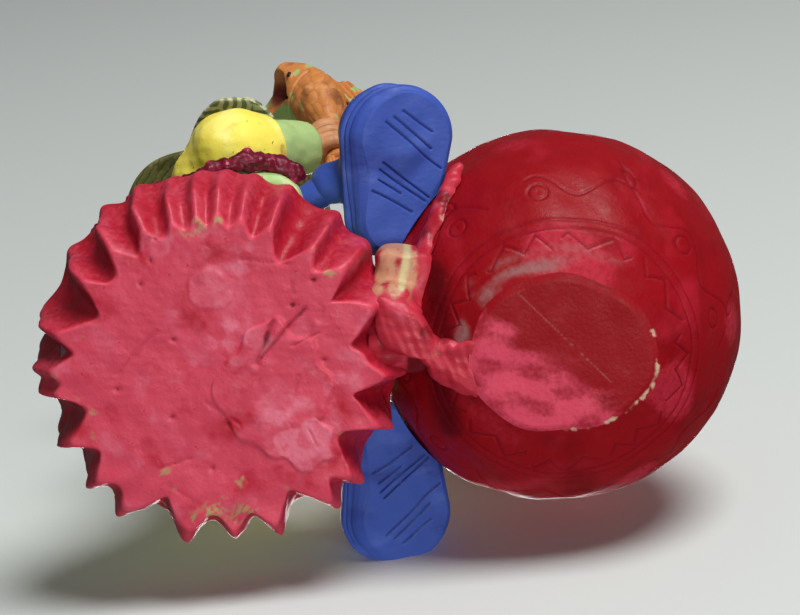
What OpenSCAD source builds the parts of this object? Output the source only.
// Bubbling ornament: a seated clay figure on a fluted stool, with a lidded pot that air bubbles out of.
// Millimetres. The origin is the middle of the stool's underside, +Z is up and -Y is the front.

/* [Stool] */
// Radius over the tips of the flutes
stool_tip_r = 36.5; // [34:0.5:39]
// Height of the stool
stool_h = 15; // [14:0.5:18]
// Number of flutes
flute_n = 24; // [18:1:28]
// Depth of a flute at the underside
flute_depth = 7.4; // [5:0.1:9]
// Depth of a flute at the top
flute_top_depth = 3.5; // [2:0.1:5]
// Width left at the tip of each flute
flute_land = 0.8; // [0.4:0.1:1.5]
// Width of the bevel round the underside
rim_bevel = 3; // [1:0.1:4]
// Height of the bevel round the underside
rim_bevel_h = 4.6; // [3:0.1:6]

/* [Pot] */
// Outside radius of the round pot
pot_r = 37.7; // [36:0.1:40]
// Radius of the flat that the pot stands on
pot_foot_r = 18.3; // [14:0.1:22]
// Distance from the stool's axis to the pot's axis
pot_reach = 65.8; // [64:0.1:72]
// Thickness of the pot's wall
pot_wall = 3.8; // [3:0.1:5]
// Thickness of the pot's floor
pot_floor = 3.6; // [3:0.1:4.2]
// Radius of the pot's mouth
mouth_r = 14.5; // [12:0.1:15.5]
// Outside radius of the flat that carries the collar
shoulder_r = 18.2; // [17:0.1:20]
// Height of the collar round the mouth
collar_h = 3.5; // [2.5:0.1:5]

/* [Lid and hinge] */
// Radius of the lid
lid_r = 17.8; // [17:0.1:19]
// Thickness of the lid at its edge
lid_edge = 2; // [1.5:0.1:3]
// Height of the lid's dome above its edge
lid_rise = 5.5; // [3:0.1:8]
// Radius of the lid's knob
knob_r = 4; // [3:0.1:5]
// Gap between the closed lid and the collar
lid_gap = 0.2; // [0.1:0.05:0.4]
// Diameter of the hinge pin
hinge_pin_d = 2; // [1.5:0.1:2.4]
// Outside radius of the hinge knuckles
knuckle_r = 2.4; // [2:0.1:3]
// Width of the lid's knuckle
knuckle_w = 6; // [4:0.1:8]
// Width of each ear on the collar
ear_w = 3; // [2:0.1:4]
// Side gap between the knuckle and an ear
hinge_play = 0.3; // [0.2:0.05:0.5]
// Radial clearance of the pin in the lid's knuckle
pin_play = 0.05; // [0.02:0.01:0.1]

/* [Air line] */
// Outside diameter of the air hose that pushes into the inlet
hose_d = 6; // [5:0.1:6.4]
// Wall of the rubber inlet grommet
grommet_wall = 1.2; // [0.8:0.1:1.4]
// Length of hose that the grommet grips
grommet_len = 10; // [7:0.5:12]
// Outside diameter of the feed tube
feed_d = 5; // [4:0.1:5.4]
// Bore of the feed tube
feed_bore_d = 3; // [2:0.1:3.4]
// Height of the feed tube's axis
feed_z = 7; // [6.8:0.1:7.4]
// Wall of the rubber seal in the pot
seal_wall = 0.8; // [0.5:0.1:1]
// Radius of the air stone
stone_r = 9; // [7:0.1:11]
// Height of the air stone
stone_h = 8; // [7:0.1:10]
// Depth of the feed tube in the air stone
stone_grip = 4; // [3:0.1:5]

/* [Bridge] */
// Reach of the clay bridge to the figure's right
bridge_right = 17; // [12:0.5:19]
// Reach of the clay bridge to the figure's left
bridge_left = 5; // [4:0.5:9]
// Height of the top of the bridge
bridge_top = 11.5; // [11:0.1:12.5]
// Height of the bridge's underside above the ground
bridge_lift = 0.4; // [0.2:0.1:1]
// Length of the bridge from the pot's axis to its root in the stool
bridge_len = 38.3; // [37:0.1:40]

/* [Tunic] */
// Radius of the tunic's hem
hem_r = 33; // [31:0.1:33.5]
// Upright edge of the hem
hem_h = 3.5; // [2.5:0.1:5]
// Radius at the waist
waist_r = 15; // [13:0.1:16.5]
// Height of the waist above the stool
waist_rise = 33; // [30:0.5:36]
// Radius at the chest
chest_r = 16.3; // [15:0.1:17.5]
// Width of the fringe round the hem
fringe_w = 2.6; // [1.5:0.1:3]
// Height of the fringe
fringe_h = 5; // [4:0.1:6.5]
// Angle that the fringe runs forward of each side
fringe_turn = 27; // [15:1:30]
// Number of pleats in the skirt
pleat_n = 13; // [9:1:17]
// Height of a pleat near the hem
pleat_h = 1.4; // [0.8:0.1:2]

/* [Poncho] */
// Height of the poncho's neck above the stool
poncho_rise = 75; // [72:0.5:80]
// Radius of the neck opening
neck_open_r = 7.5; // [6.5:0.1:8.5]
// Reach of the poncho over each arm
poncho_reach = 37.5; // [34:0.5:39]
// Fall from the neck to the edge
poncho_fall = 24; // [22:0.5:26]
// Upright thickness of the poncho
poncho_t = 3.4; // [2.5:0.1:4]
// Half of the poncho's depth, front to back
poncho_half = 12; // [10:0.1:12.5]

/* [Arms] */
// Distance of the shoulders from the middle
shoulder_x = 13; // [12:0.1:14]
// Height of the shoulders above the stool
shoulder_rise = 57; // [56:0.5:58]
// Distance of the elbows from the middle
elbow_x = 29.5; // [28:0.1:31]
// Height of the elbows above the stool
elbow_rise = 35; // [33:0.5:37]
// Radius of the sleeve at the elbow
elbow_r = 9.6; // [8.5:0.1:10.2]
// Radius of the sleeve at the shoulder
sleeve_r = 6.4; // [5.5:0.1:7]
// Radius of the sleeve at the cuff
cuff_r = 6; // [5:0.1:6.5]
// Reach of the raised fist in front of its elbow
fist_reach = 19; // [18:0.1:20]
// Lift of the raised fist above its elbow
fist_lift = 18; // [17:0.1:19]
// Turn of the raised fist in from its elbow
fist_in = 2; // [1:0.1:3]
// Radius of a fist
fist_r = 5; // [4.6:0.1:5.4]
// Radius of a wrist
wrist_r = 3.2; // [2.6:0.1:3.6]

/* [Head and hat] */
// Radius of the head
head_r = 11; // [10:0.1:12]
// Radius of the neck
neck_r = 5.5; // [4.5:0.1:6]
// Thickness of the hair
hair_t = 1.4; // [1:0.1:1.8]
// Radius of the hat's brim
brim_r = 21; // [18:0.5:24]
// Thickness of the hat's brim
brim_t = 2.2; // [1.6:0.1:3]
// Height of the brim above the middle of the head
brim_rise = 7; // [6:0.1:8]
// Radius of the hat's crown
crown_r = 11.7; // [11:0.1:13]
// Height of the hat's crown
crown_h = 17; // [13:0.5:20]
// Depth of the crease along the top of the crown
crease_depth = 2; // [1:0.1:3]
// Height of the hat band
band_h = 3.4; // [2:0.1:5]
// Thickness of the hat band
band_t = 0.9; // [0.6:0.1:1.5]

/* [Legs and shoes] */
// Distance of the hips from the middle
hip_x = 13; // [12:0.1:14]
// Height of the hips above the stool
hip_rise = 11; // [10.5:0.1:11.5]
// Distance of the ankles from the middle
ankle_x = 28.5; // [28:0.1:29]
// Reach of the ankles in front of the hips
ankle_reach = 21; // [20.5:0.1:21.5]
// Height of the ankles above the stool
ankle_rise = 13.3; // [13:0.1:13.6]
// Distance of the heels' centres from the middle
heel_x = 23; // [22.5:0.1:23.5]
// Reach of the heels' centres in front of the hips
heel_reach = 33.4; // [33:0.1:34]
// Height of the heels' centres above the stool
heel_rise = 8; // [7.8:0.1:8.4]
// Distance of the insteps from the middle
instep_x = 32; // [31.5:0.1:32.5]
// Reach of the insteps in front of the hips
instep_reach = 33; // [32.5:0.1:33.5]
// Height of the insteps above the stool
instep_rise = 11.5; // [11:0.1:12]
// Radius of a trouser leg
leg_r = 3.2; // [2.8:0.1:3.5]
// Radius of a shoe's ankle
ankle_r = 4.6; // [4.2:0.1:5]
// Radius of a shoe round the toe
toe_r = 10.2; // [9.5:0.1:10.8]
// Radius of a shoe round the heel
heel_r = 7.2; // [6.5:0.1:7.6]
// Distance between the heel's and the toe's centres
shoe_span = 16.8; // [15:0.1:18]
// Thickness of a sole
sole_t = 3; // [2.2:0.1:3.4]
// Width of the welt round a sole
welt_w = 0.6; // [0.3:0.1:0.9]
// Forward tilt of the soles in degrees
sole_tilt = 18; // [15:0.5:20]
// Forward turn of the toes in degrees
toe_turn = 3.4; // [0:0.2:5]

/* [Fish] */
// Radius of the fish at its thickest
fish_r = 7.7; // [6.8:0.1:8]
// Length of the fish from fist to snout
fish_len = 33.8; // [31:0.1:36]
// Radius of the fish's tail root
tail_root_r = 2.3; // [2:0.1:2.6]
// Length of the tail fin
tail_len = 12; // [9:0.1:14]
// Thickness of the fins
fin_t = 1.8; // [1.4:0.1:2.2]

/* [Armature] */
// Diameter of the armature rod
rod_d = 3; // [2:0.1:3.4]
// Depth of the rod in the stool
rod_root = 4; // [3:0.1:4.2]

/* [Hidden] */
$fn = 64;

// Glue line between pieces that are stuck together, and play of a push fit
glue = 0.05;
// Space that is cut for a piece which only passes near
clear = 0.3;
// Cutters reach this far past what they cut
past = 20;
// Pieces in each quarter of an arc, and in each free curve
arc_n = 6;
curve_n = 10;

pot_y = -pot_reach;
pot_cz = sqrt(pot_r * pot_r - pot_foot_r * pot_foot_r);
pot_in_r = pot_r - pot_wall;
collar_z = pot_cz + sqrt(pot_r * pot_r - shoulder_r * shoulder_r);
lid_z = collar_z + collar_h + lid_gap;
hinge_y = pot_y + max(lid_r, shoulder_r) + knuckle_r + clear;
hinge_z = lid_z + lid_edge / 2;
ear_x = knuckle_w / 2 + hinge_play;
// Stem and rise of the knob as shares of its radius, and where its ball leaves the stem
knob_stem = 0.6;
knob_rise = 1.1;
knob_from = -40;

flute_turn = 360 / flute_n;
flute_valley_r = stool_tip_r - flute_depth;
flute_half = stool_tip_r * sin(flute_turn / 2) - flute_land / 2;
flute_tilt = atan((flute_depth - flute_top_depth) / stool_h);
// 1 gives straight-sided flutes, 2 round ones
flute_bend = 1.35;

grommet_r = hose_d / 2 + grommet_wall;
grommet_y = flute_valley_r + feed_z * tan(flute_tilt) - glue;
feed_back = grommet_y - grommet_len;
feed_front = pot_y + stone_r - stone_grip;
feed_r = feed_d / 2;
seal_r = feed_r + seal_wall;
// Where the seal's axis leaves the pot's inside and outside
seal_out = pot_y + sqrt(pot_r * pot_r - pow(pot_cz - feed_z + seal_r, 2));
seal_in = pot_y + sqrt(pot_in_r * pot_in_r - pow(pot_cz - feed_z, 2)) - seal_r;
bridge_y = pot_y + bridge_len;

neck_z = stool_h + poncho_rise;
poncho_slope = poncho_fall / (poncho_reach - neck_open_r);
waist_z = stool_h + waist_rise;
// Flare of the skirt above the hem, and top of the fringe as a share of its width
hem_flare = 6;
fringe_top = 0.6;
// Points of the skirt's curve that a pleat runs between, its lift along them and its depth in the skirt
pleat_from = 1;
pleat_to = 8;
pleat_lift = 0.3;
pleat_root = 2;
// Width of a pleat as a share of the room for it
pleat_share = 0.46;
// Pleats left out on each side of the front, where the legs and the pot are
pleat_skip = 3;
shoulder_z = poncho_under(chest_r) - glue;

// Setting of the head behind the middle, its sink into the neck opening, and the neck below it
head_back = 2;
head_sink = 0.5;
neck_len = 4;
// Nose as a share of the head
nose_share = 0.2;
head_c = [0, head_back, neck_z + head_r - head_sink];
brim_z = head_c[2] + brim_rise;
hair_r = head_r + hair_t;
// Angle of the hair's lower edge below the middle of the head, and lean of its front edge
nape_angle = 50;
hair_slope = -25;
// Rounding of the hat's crown as a share of its radius
crown_round = 0.6;
// Radius of the thumb that pressed the crease
crease_r = 5;

hip = [-hip_x, 0, stool_h + hip_rise];
ankle = [-ankle_x, -ankle_reach, stool_h + ankle_rise];
heel = [-heel_x, -heel_reach, stool_h + heel_rise];
instep = [-instep_x, -instep_reach, stool_h + instep_rise];
// Length of leg that the ankle holds
leg_grip = 4;

// Setting of the shoulders behind the middle, and of the elbows in front of it
shoulder_back = 1;
elbow_front = 0.5;
shoulder = [-shoulder_x, shoulder_back, stool_h + shoulder_rise];
elbow = [-elbow_x, -elbow_front, stool_h + elbow_rise];
fist = elbow + [fist_in, -fist_reach, fist_lift];
// Directions that the fish points in, and that the resting fist sits off the leg
fish_way = [-12, 10, 30];
rest_way = [-0.1, -0.2, 1];
snout = fist + fish_len * unit(fish_way);
// The left fist rests on the left leg, this far along it
knee_at = 0.72;
knee = hip + knee_at * (ankle - hip);
rest_fist = knee + (leg_r + fist_r + clear) * unit(rest_way);
// Length of wrist in the cuff, gap from cuff to fist, and start of the wrist as a share of the fist
wrist_grip = 4;
fist_gap = 0.6;
wrist_at = 0.7;
// The fish's root runs through the fist and this far past it
fish_past = 1;
fish_grip = fist_r + fish_past;
fish_root = fist - fish_grip * unit(fish_way);
// Turn of the mouth and tail about the fish, and the places of its forms as shares of its sizes
fish_turn = 35;
thick_at = 0.56;
lip_share = 0.45;
gape_share = 0.5;
gape_depth = 0.22;
fin_from = 0.34;
fin_to = 0.78;
tail_spread = 0.6;
tail_notch = 0.7;
// Lengths over which the fish's outline eases out of its root, into its back and round its lip
root_ease = 2;
back_ease = 7;
brow_ease = 6;
lip_ease = 3;
// Height of the back fin, and rake of its two ends
fin_rise = 4;
fin_rake = 3;
fin_drop = 2;

rod_z = stool_h - rod_root;

function unit(v) = v / norm(v);
function flip(v) = [-v[0], v[1], v[2]];
function poncho_over(r) = neck_z - (r - neck_open_r) * poncho_slope;
function poncho_under(r) = poncho_over(r) - poncho_t;

// Points of a cubic curve, and of an arc round c from angle a to angle b
function curve(p, q, r, s) = [
  for (i = [0:curve_n])
    let (t = i / curve_n, u = 1 - t)
      u * u * u * p + 3 * u * u * t * q + 3 * u * t * t * r + t * t * t * s
];
function arc(c, r, a, b) = [
  for (i = [0:2 * arc_n])
    let (t = a + (b - a) * i / (2 * arc_n)) c + r * [cos(t), sin(t)]
];

// Half outline of a tapered bar with round ends: r1 at x = 0, r2 at x = span
function bar_half(r1, r2, span) =
  let (lean = asin((r2 - r1) / span))
    concat(arc([0, 0], r1, 180, 90 + lean), arc([span, 0], r2, 90 + lean, 0));
function bar_outline(r1, r2, span) =
  let (half = bar_half(r1, r2, span), n = len(half))
    concat(half, [for (i = [n - 2:-1:1]) [half[i][0], -half[i][1]]]);

// Turns the child's Z axis to run from a towards b
module along(a, b) {
  d = unit(b - a);
  translate(a) rotate([0, acos(d[2]), atan2(d[1], d[0])]) children();
}

// Tapered round bar from a to b with round ends
module round_bar(a, b, ra, rb) {
  along(a, b) rotate_extrude()
    polygon([for (p = bar_half(ra, rb, norm(b - a))) [max(0, p[1]), p[0]]]);
}

// Everything above the plane z = 0 of the child's place
module upper_half() {
  translate([-4 * past, -4 * past, 0]) cube(8 * past);
}

module pot_ball(grow) {
  translate([0, pot_y, pot_cz]) sphere(pot_r + grow);
}

module feed_hole(r, y0, y1) {
  translate([0, y1, feed_z]) rotate([-90, 0, 0]) cylinder(r = r, h = y0 - y1);
}

module rod_hole() {
  translate([0, 0, rod_z]) cylinder(d = rod_d + 2 * glue, h = head_c[2] - rod_z + glue);
}

module bridge_block() {
  translate([-bridge_right, pot_y, bridge_lift])
    cube([bridge_right + bridge_left, bridge_y - pot_y, bridge_top - bridge_lift]);
}

// U-shaped flute, pointed between one flute and the next, deeper at the underside
module flute_cut() {
  side = [for (i = [-curve_n:curve_n]) let (s = i / curve_n)
    [flute_depth * pow(abs(s), flute_bend), s * flute_half]];
  translate([flute_valley_r, 0, 0]) rotate([0, flute_tilt, 0])
    translate([0, 0, -past]) linear_extrude(stool_h + 2 * past)
      polygon(concat(side, [[past, flute_half], [past, -flute_half]]));
}

module fluted_stool() {
  color("crimson") difference() {
    rotate_extrude() polygon([
      [0, 0], [stool_tip_r - rim_bevel, 0], [stool_tip_r, rim_bevel_h], [stool_tip_r, stool_h], [0, stool_h]
    ]);
    for (i = [0:flute_n - 1]) rotate([0, 0, 90 + i * flute_turn]) flute_cut();
    bridge_block();
    pot_ball(clear);
    feed_hole(feed_r + glue, feed_back, bridge_y - past);
    feed_hole(grommet_r + glue, stool_tip_r + past, feed_back);
    rod_hole();
  }
}

module bridge_web() {
  color("firebrick") difference() {
    bridge_block();
    pot_ball(glue);
    feed_hole(feed_r + glue, past, pot_y);
  }
}

// Slice of the solid pot from height z0 to height z1
module pot_slice(z0, z1) {
  intersection() {
    pot_ball(0);
    translate([-2 * pot_r, pot_y - 2 * pot_r, z0]) cube([4 * pot_r, 4 * pot_r, z1 - z0]);
  }
}

// The pot is two clay bowls, joined rim to rim at its widest
module pot_body() {
  color("crimson") difference() {
    pot_slice(0, pot_cz);
    intersection() {
      pot_ball(-pot_wall);
      translate([0, pot_y, pot_floor]) upper_half();
    }
    feed_hole(seal_r + glue, pot_y + pot_r, pot_y);
  }
}

module pot_shoulder() {
  color("crimson") difference() {
    pot_slice(pot_cz, collar_z);
    pot_ball(-pot_wall);
    translate([0, pot_y, pot_cz]) cylinder(r = mouth_r, h = pot_r);
  }
}

module collar_ring() {
  bead = collar_h / 2;
  rotate_extrude() polygon(concat(
    [[mouth_r, collar_h], [mouth_r, 0]],
    arc([shoulder_r - bead, bead], bead, -90, 90)
  ));
}

module hinge_ear() {
  foot = hinge_y - pot_y - (mouth_r + shoulder_r) / 2;
  rotate([0, 90, 0]) cylinder(r = knuckle_r, h = ear_w);
  translate([0, -foot, collar_z - hinge_z]) cube([ear_w, foot + knuckle_r, collar_h]);
  translate([0, -knuckle_r, collar_z - hinge_z]) cube([ear_w, 2 * knuckle_r, hinge_z - collar_z]);
}

module pin_hole(r) {
  translate([-past, hinge_y, hinge_z]) rotate([0, 90, 0]) cylinder(r = r, h = 2 * past);
}

module pot_collar() {
  color("crimson") difference() {
    union() {
      translate([0, pot_y, collar_z]) collar_ring();
      for (x = [ear_x, -ear_x - ear_w]) translate([x, hinge_y, hinge_z]) hinge_ear();
    }
    pin_hole(hinge_pin_d / 2);
    translate([0, pot_y, 0]) cylinder(r = mouth_r, h = lid_z + past);
  }
}

module pot_lid() {
  flat_r = knob_r * knob_stem;
  edge = lid_edge / 2;
  tab = hinge_y - pot_y - lid_r / 2;
  color("crimson") difference() {
    union() {
      translate([0, pot_y, lid_z]) rotate_extrude() polygon(concat(
        [[0, 0]],
        arc([lid_r - edge, edge], edge, -90, 0),
        curve([lid_r, edge], [lid_r, lid_edge + lid_rise / 2],
          [lid_r / 2, lid_edge + lid_rise], [flat_r, lid_edge + lid_rise]),
        [[0, lid_edge + lid_rise]]
      ));
      translate([-knuckle_w / 2, hinge_y, hinge_z]) rotate([0, 90, 0])
        cylinder(r = knuckle_r, h = knuckle_w);
      translate([-knuckle_w / 2, hinge_y - tab, lid_z]) cube([knuckle_w, tab, lid_edge]);
    }
    pin_hole(hinge_pin_d / 2 + pin_play);
  }
}

module lid_knob() {
  stem = knob_r * knob_stem;
  color("firebrick") translate([0, pot_y, lid_z + lid_edge + lid_rise])
    rotate_extrude() polygon(concat(
      [[0, 0], [stem, 0]],
      arc([0, knob_r * knob_rise], knob_r, knob_from, 90)
    ));
}

module lid_hinge_pin() {
  reach = ear_x + ear_w;
  color("goldenrod") translate([-reach, hinge_y, hinge_z]) rotate([0, 90, 0])
    cylinder(d = hinge_pin_d, h = 2 * reach);
}

module inlet_grommet() {
  color("dimgray") difference() {
    feed_hole(grommet_r, grommet_y, feed_back);
    feed_hole(hose_d / 2, grommet_y + past, feed_back - past);
  }
}

module feed_tube() {
  color("lightgray") difference() {
    feed_hole(feed_r, feed_back, feed_front);
    feed_hole(feed_bore_d / 2, feed_back + past, feed_front - past);
  }
}

module pot_seal() {
  color("dimgray") difference() {
    feed_hole(seal_r, seal_out, seal_in);
    feed_hole(feed_r + glue, seal_out + past, seal_in - past);
  }
}

module air_stone() {
  color("lightsteelblue") difference() {
    translate([0, pot_y, pot_floor]) cylinder(r = stone_r, h = stone_h);
    feed_hole(feed_r + glue, pot_y + stone_r + past, feed_front - glue);
  }
}

// Side of the bell skirt from the hem to the waist
function skirt_line() =
  let (rise = waist_rise - hem_h)
    curve([hem_r, hem_h], [hem_r - hem_flare, hem_h + rise / 3],
      [waist_r, waist_rise - rise / 2], [waist_r, waist_rise]);

// Bell skirt drawn in at the waist, with a shoulder cone under the poncho
module tunic_form(grow) {
  lift = shoulder_z - waist_z;
  side = concat(
    skirt_line(),
    curve([waist_r, waist_rise], [waist_r, waist_rise + lift / 4],
      [chest_r, waist_rise + lift / 3], [chest_r, shoulder_z - stool_h])
  );
  translate([0, 0, stool_h]) rotate_extrude() polygon(concat(
    [[0, 0], [hem_r + grow, 0]],
    [for (p = side) p + [grow, 0]],
    [[neck_open_r + grow, poncho_under(neck_open_r) - glue - stool_h]],
    [[0, poncho_under(neck_open_r) - glue - stool_h]]
  ));
}

// Raised pleats behind the legs that fade out towards the waist
module skirt_pleats() {
  line = skirt_line();
  turn = 360 / pleat_n;
  side = concat(
    [for (i = [pleat_from:pleat_to]) line[i] + [pleat_h * (1 - i / (pleat_to + 1)), pleat_lift]],
    [for (i = [pleat_to:-1:pleat_from]) line[i] + [-pleat_root, pleat_lift]]
  );
  for (k = [pleat_skip:pleat_n - pleat_skip]) translate([0, 0, stool_h])
    rotate([0, 0, -90 + (k - pleat_share / 2) * turn]) rotate_extrude(angle = turn * pleat_share)
      polygon(side);
}

module tunic() {
  color("darkseagreen") difference() {
    union() {
      tunic_form(0);
      skirt_pleats();
    }
    pot_ball(clear);
    leg_bar(glue);
    mirror([1, 0, 0]) leg_bar(glue);
    rod_hole();
  }
}

module hem_fringe() {
  color("maroon") translate([0, 0, stool_h]) rotate([0, 0, -fringe_turn])
    rotate_extrude(angle = 180 + 2 * fringe_turn) translate([hem_r + glue, 0])
      polygon([[0, 0], [fringe_w, 0], [fringe_w * fringe_top, fringe_h], [0, hem_h]]);
}

// Strip of a cone that lies over both shoulders
module poncho_form(grow) {
  half = poncho_half + grow;
  intersection() {
    rotate_extrude() polygon([
      [neck_open_r, poncho_over(neck_open_r) + grow],
      [neck_open_r, poncho_under(neck_open_r) - grow],
      [poncho_reach + grow, poncho_under(poncho_reach) - grow],
      [poncho_reach + grow, poncho_over(poncho_reach) + grow]
    ]);
    translate([-2 * poncho_reach, -half, 0]) cube([4 * poncho_reach, 2 * half, 2 * neck_z]);
  }
}

module poncho() {
  color("mintcream") poncho_form(0);
}

// Straight leg from inside the tunic into the shoe's ankle
module leg_bar(grow) {
  along(hip, ankle) cylinder(r = leg_r + grow, h = norm(ankle - hip) + leg_grip + grow);
}

module right_leg() {
  color("royalblue") leg_bar(0);
}

module left_leg() {
  color("royalblue") mirror([1, 0, 0]) leg_bar(0);
}

// Place of a shoe: origin at the heel's centre on the sole, X towards the toe, Z out of the sole
module shoe_place() {
  translate(heel) rotate([-sole_tilt, 0, 0]) rotate([0, 0, 180 + toe_turn]) children();
}

module shoe_upper() {
  difference() {
    union() {
      shoe_place() intersection() {
        rotate([0, 90, 0]) rotate_extrude()
          polygon([for (p = bar_half(heel_r, toe_r, shoe_span)) [max(0, p[1]), p[0]]]);
        upper_half();
      }
      difference() {
        along(ankle, instep) cylinder(r = ankle_r, h = norm(instep - ankle));
        shoe_place() mirror([0, 0, 1]) upper_half();
      }
    }
    leg_bar(glue);
    pot_ball(clear);
  }
}

module right_shoe() {
  color("royalblue") shoe_upper();
}

module left_shoe() {
  color("royalblue") mirror([1, 0, 0]) shoe_upper();
}

module shoe_sole() {
  difference() {
    shoe_place() translate([0, 0, -sole_t]) linear_extrude(sole_t)
      polygon(bar_outline(heel_r + welt_w, toe_r + welt_w, shoe_span));
    pot_ball(clear);
  }
}

module right_sole() {
  color("mediumblue") shoe_sole();
}

module left_sole() {
  color("mediumblue") mirror([1, 0, 0]) shoe_sole();
}

// Bent sleeve from the shoulder to a cuff that stops short of the fist
module sleeve(s, e, f) {
  cuff = norm(f - e) - fist_r - fist_gap;
  difference() {
    union() {
      round_bar(s, e, sleeve_r, elbow_r);
      along(e, f) rotate_extrude() polygon(concat(
        arc([0, 0], elbow_r - clear, -90, 0),
        [[cuff_r, cuff], [0, cuff]]
      ));
    }
    along(e, f) translate([0, 0, cuff - wrist_grip])
      cylinder(r = wrist_r + glue, h = wrist_grip + past);
    tunic_form(glue);
    poncho_form(clear);
  }
}

module right_sleeve() {
  color("gold") sleeve(shoulder, elbow, fist);
}

module left_sleeve() {
  color("gold") sleeve(flip(shoulder), flip(elbow), flip(rest_fist));
}

// Fist with its wrist stub in the cuff
module hand(e, f) {
  start = fist_r * wrist_at;
  stub = fist_r + fist_gap + wrist_grip - glue - start;
  translate(f) sphere(fist_r);
  along(f, e) translate([0, 0, start]) cylinder(r = wrist_r, h = stub);
}

module right_hand() {
  color("peru") difference() {
    hand(elbow, fist);
    fish_form(glue);
  }
}

module left_hand() {
  color("peru") hand(flip(elbow), flip(rest_fist));
}

module head() {
  nose = head_r * nose_share;
  color("peru") difference() {
    union() {
      translate(head_c) sphere(head_r);
      translate([0, head_c[1], head_c[2] - head_r - neck_len])
        cylinder(r = neck_r, h = head_r);
      translate(head_c + [0, nose - head_r, -nose]) rotate([90, 0, 0])
        cylinder(r1 = nose, r2 = nose / 2, h = 2 * nose);
    }
    rod_hole();
    mirror([0, 0, 1]) translate([0, 0, -poncho_under(neck_open_r)]) upper_half();
  }
}

module hair_ball(grow) {
  translate(head_c) sphere(hair_r + grow);
}

// Cap of hair, cut back along a slope from the brow to the nape
module hair() {
  // The flats of the arc lie a glue line off the head
  inner = (head_r + glue) / cos((90 + nape_angle) / (4 * arc_n));
  color("saddlebrown") difference() {
    translate(head_c) rotate_extrude() polygon(concat(
      arc([0, 0], hair_r, -nape_angle, 90), arc([0, 0], inner, 90, -nape_angle)
    ));
    translate(head_c) rotate([hair_slope, 0, 0]) translate([-past, -2 * past, -past])
      cube(2 * past);
  }
}

module hat_brim() {
  bead = brim_t / 2;
  color("darkolivegreen") difference() {
    translate([0, head_c[1], brim_z]) rotate_extrude() polygon(concat(
      [[0, 0]],
      arc([brim_r - bead, bead], bead, -90, 90),
      [[0, brim_t]]
    ));
    hair_ball(glue);
  }
}

module hat_crown() {
  round_r = crown_r * crown_round;
  color("darkolivegreen") difference() {
    translate([0, head_c[1], brim_z + brim_t]) rotate_extrude() polygon(concat(
      [[0, 0], [crown_r, 0]],
      arc([crown_r - round_r, crown_h - round_r], round_r, 0, 90),
      [[0, crown_h]]
    ));
    hair_ball(glue);
    translate([0, head_c[1] - past, brim_z + brim_t + crown_h + crease_r - crease_depth])
      rotate([-90, 0, 0]) cylinder(r = crease_r, h = 2 * past);
  }
}

module hat_band() {
  color("maroon") translate([0, head_c[1], brim_z + brim_t]) difference() {
    cylinder(r = crown_r + band_t, h = band_h);
    translate([0, 0, -past]) cylinder(r = crown_r + glue, h = band_h + 2 * past);
  }
}

// Fish held by the tail root, with its snout up and out
module fish_form(grow) {
  thick = fish_grip + fish_len * thick_at;
  full = fish_grip + fish_len;
  lip_r = fish_r * lip_share;
  neck = 2 * fish_grip;
  along(fish_root, snout) rotate_extrude() polygon(concat(
    [[0, 0], [tail_root_r + grow, 0]],
    [for (p = concat(
      curve([tail_root_r, neck], [tail_root_r + root_ease, neck + root_ease],
        [fish_r, thick - back_ease], [fish_r, thick]),
      curve([fish_r, thick], [fish_r, thick + brow_ease],
        [lip_r + root_ease, full - lip_ease], [lip_r, full])
    )) p + [grow, 0]],
    [[0, full]]
  ));
}

// Wedge that opens the fish's mouth
module mouth_wedge() {
  gape = fish_r * gape_share;
  depth = fish_len * gape_depth;
  along(snout, fist) rotate([0, 0, fish_turn]) translate([0, past, 0]) rotate([90, 0, 0])
    linear_extrude(2 * past)
      polygon([[-gape, -past], [-gape, 0], [0, depth], [gape, 0], [gape, -past]]);
}

module fish_body() {
  color("chocolate") difference() {
    fish_form(0);
    mouth_wedge();
  }
}

// Flat fin drawn in the plane of the child's X and Z axes
module fin_plate(outline) {
  rotate([90, 0, 0]) translate([0, 0, -fin_t / 2]) linear_extrude(fin_t) polygon(outline);
}

module fish_tail() {
  spread = tail_len * tail_spread;
  color("chocolate") along(fish_root, fish_root - fish_way) rotate([0, 0, fish_turn])
    fin_plate([
      [-tail_root_r, 0], [-spread, tail_len], [0, tail_len * tail_notch],
      [spread, tail_len], [tail_root_r, 0]
    ]);
}

module fish_fin() {
  low = fish_grip + fish_len * fin_from;
  high = fish_grip + fish_len * fin_to;
  rise = fish_r + fin_rise;
  color("olivedrab") difference() {
    along(fish_root, snout) rotate([0, 0, fish_turn - 90])
      fin_plate([[0, low], [rise, low + fin_rake], [rise - fin_drop, high], [0, high]]);
    fish_form(glue);
  }
}

module armature_rod() {
  color("silver") translate([0, 0, rod_z]) cylinder(d = rod_d, h = head_c[2] - rod_z);
}

fluted_stool();
bridge_web();
pot_body();
pot_shoulder();
pot_collar();
pot_lid();
lid_knob();
lid_hinge_pin();
inlet_grommet();
feed_tube();
pot_seal();
air_stone();
tunic();
hem_fringe();
poncho();
right_leg();
left_leg();
right_shoe();
left_shoe();
right_sole();
left_sole();
right_sleeve();
left_sleeve();
right_hand();
left_hand();
head();
hair();
hat_brim();
hat_crown();
hat_band();
fish_body();
fish_tail();
fish_fin();
armature_rod();
